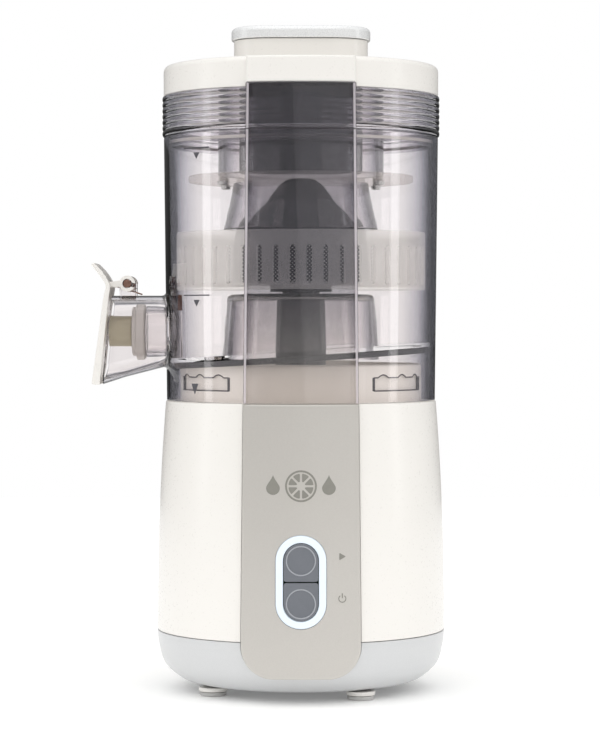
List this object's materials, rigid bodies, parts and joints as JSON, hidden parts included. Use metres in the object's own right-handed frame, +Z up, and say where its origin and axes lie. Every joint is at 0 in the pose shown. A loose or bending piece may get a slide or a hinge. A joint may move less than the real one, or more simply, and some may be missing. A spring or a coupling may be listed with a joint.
{
  "type": "centrifugal juicer",
  "caption": "Upright centrifugal juicer: round motor base, clear bowl with a drip-stop spout on its left, filter basket, twist-on lid with an oblong feed neck, and a pusher.",
  "frame": {"origin": "centre of the bounding box's footprint, on the surface that the four foot pads stand on; the body's turning axis is 17.5 mm along +X and 0.5 mm along +Y from it", "axes": "+Z up along the body's axis; -Y is the front with the panel and the buttons; the spout points along -X"},
  "size_m": [0.1924, 0.1582, 0.3615],
  "materials": {
    "ivory_abs": "fine satin moulded ABS, warm ivory",
    "silver_abs": "satin silver-grey moulded ABS",
    "pearl_panel": "pearl champagne film under a clear coat",
    "light_ring": "pale translucent light guide",
    "button_grey": "dark grey satin plastic",
    "black_rubber": "matt black rubber",
    "smoked_clear": "polished clear smoked copolyester",
    "dark_smoked": "polished dark smoked copolyester",
    "grey_silicone": "satin grey silicone",
    "khaki_plastic": "matt khaki moulded plastic",
    "brown_silicone": "translucent brown silicone",
    "milky_plastic": "milky white polypropylene",
    "graphite_plastic": "dark graphite moulded plastic",
    "stainless": "brushed stainless steel",
    "zinc": "zinc-plated pressed steel",
    "copper": "varnished copper windings on a steel stack",
    "circuit_board": "green glass-epoxy board"
  },
  "bodies": {
    "base": {"base_shell": "ivory_abs", "bottom_tray": "silver_abs", "foot_1": "ivory_abs", "foot_2": "ivory_abs", "foot_3": "ivory_abs", "foot_4": "ivory_abs", "foot_pad_1": "black_rubber", "foot_pad_2": "black_rubber", "foot_pad_3": "black_rubber", "foot_pad_4": "black_rubber", "front_panel": "pearl_panel", "button_bezel": "light_ring", "lock_collar": "ivory_abs", "motor_can": "zinc", "motor_end_top": "zinc", "motor_end_bottom": "zinc", "stator_ring": "graphite_plastic", "bearing_upper": "stainless", "bearing_lower": "stainless", "motor_mount_ring": "black_rubber", "spindle_tower": "graphite_plastic", "shaft_seal": "grey_silicone", "switch_board": "circuit_board", "start_switch": "graphite_plastic", "power_switch": "graphite_plastic", "control_board": "circuit_board", "cord_gland": "black_rubber"},
    "motor_rotor": {"rotor": "copper", "motor_shaft": "stainless", "cooling_fan": "graphite_plastic", "drive_coupling": "graphite_plastic"},
    "start_key": {"start_button": "button_grey"},
    "power_key": {"power_button": "button_grey"},
    "bowl": {"juice_bowl": "smoked_clear", "bowl_window": "dark_smoked", "floor_ring": "graphite_plastic", "post_tip": "brown_silicone", "flap_pin": "stainless", "flap_spring": "stainless"},
    "flap": {"spout_flap": "ivory_abs", "stopper_stem": "khaki_plastic", "stopper_seal": "grey_silicone"},
    "basket": {"basket_drum": "milky_plastic", "basket_mesh": "stainless", "grater_disc": "stainless", "basket_cone": "graphite_plastic", "basket_hub": "graphite_plastic"},
    "lid_assembly": {"lid": "ivory_abs", "lid_ring": "smoked_clear", "lid_window": "dark_smoked", "lid_seal": "grey_silicone", "feed_tube": "smoked_clear", "deflector_disc": "grey_silicone", "feed_skirt": "smoked_clear", "deflector_screw_1": "stainless", "deflector_screw_2": "stainless", "deflector_screw_3": "stainless", "deflector_screw_4": "stainless"},
    "pusher": {"pusher_body": "graphite_plastic", "pusher_cap": "silver_abs"}
  },
  "joints": [
    {"name": "rotor_spin", "type": "hinge", "parent": "base", "child": "motor_rotor", "pos_m": [0.0175, 0.0005, 0.1], "axis": [0, 0, 1], "continuous": true},
    {"name": "start_press", "type": "slide", "parent": "base", "child": "start_key", "axis": [0, 1, 0], "range_m": [0, 0.0012], "stiffness_N_per_m": 400, "springref_m": -0.0015},
    {"name": "power_press", "type": "slide", "parent": "base", "child": "power_key", "axis": [0, 1, 0], "range_m": [0, 0.0012], "stiffness_N_per_m": 400, "springref_m": -0.0015},
    {"name": "bowl_lift", "type": "slide", "parent": "base", "child": "bowl", "axis": [0, 0, 1], "range_m": [0, 0.09]},
    {"name": "flap_hinge", "type": "hinge", "parent": "bowl", "child": "flap", "pos_m": [-0.0771, 0.0005, 0.2219], "axis": [0, 1, 0], "range_deg": [0, 75], "stiffness_Nm_per_rad": 0.03, "springref_deg": -34.38},
    {"name": "basket_spin", "type": "hinge", "parent": "bowl", "child": "basket", "pos_m": [0.0175, 0.0005, 0.235], "axis": [0, 0, 1], "continuous": true},
    {"name": "lid_lift", "type": "slide", "parent": "bowl", "child": "lid_assembly", "axis": [0, 0, 1], "range_m": [0, 0.09]},
    {"name": "pusher_slide", "type": "slide", "parent": "lid_assembly", "child": "pusher", "axis": [0, 0, 1], "range_m": [0, 0.075]}
  ],
  "couplings": [
    {"joint": "basket_spin", "follows": "rotor_spin", "ratio": 1}
  ]
}
